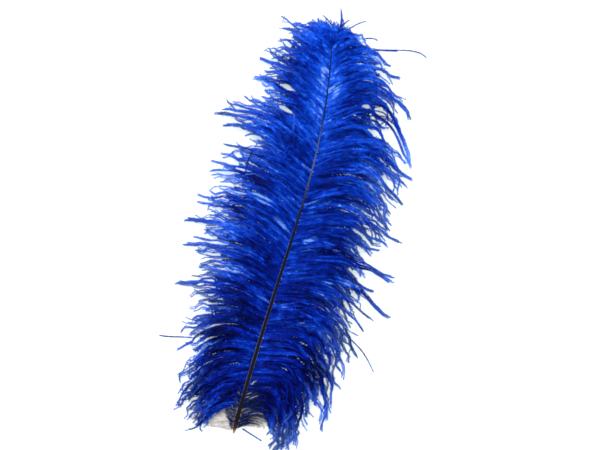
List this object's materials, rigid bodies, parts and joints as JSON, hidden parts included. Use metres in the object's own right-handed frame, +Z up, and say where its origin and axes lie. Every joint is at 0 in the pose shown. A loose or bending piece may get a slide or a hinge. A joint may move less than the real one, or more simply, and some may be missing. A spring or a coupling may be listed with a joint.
{
  "type": "ostrich feather",
  "caption": "Fluffy dyed plume lying face up: a dark bowed quill, deep blue flues of long loose barbs on both sides and pale down at the base.",
  "frame": {"origin": "middle of the feather's bounding box in X and Y, at the surface it lies on", "axes": "+Y runs along the quill from its base to its tip, +X towards the side with the longer barbs, +Z up out of the feather's face"},
  "size_m": [0.185, 0.358, 0.0265],
  "materials": {
    "quill": "dyed horn, almost black with a blue cast and a soft shine",
    "left_vane": "soft loose barbs dyed royal blue, darker towards the base",
    "right_vane": "soft loose barbs dyed royal blue, darker towards the base",
    "left_down": "undyed down, pale grey and matte",
    "right_down": "undyed down, pale grey and matte"
  },
  "bodies": {
    "root": {"quill": "quill", "left_vane": "left_vane", "right_vane": "right_vane", "left_down": "left_down", "right_down": "right_down"}
  },
  "joints": []
}
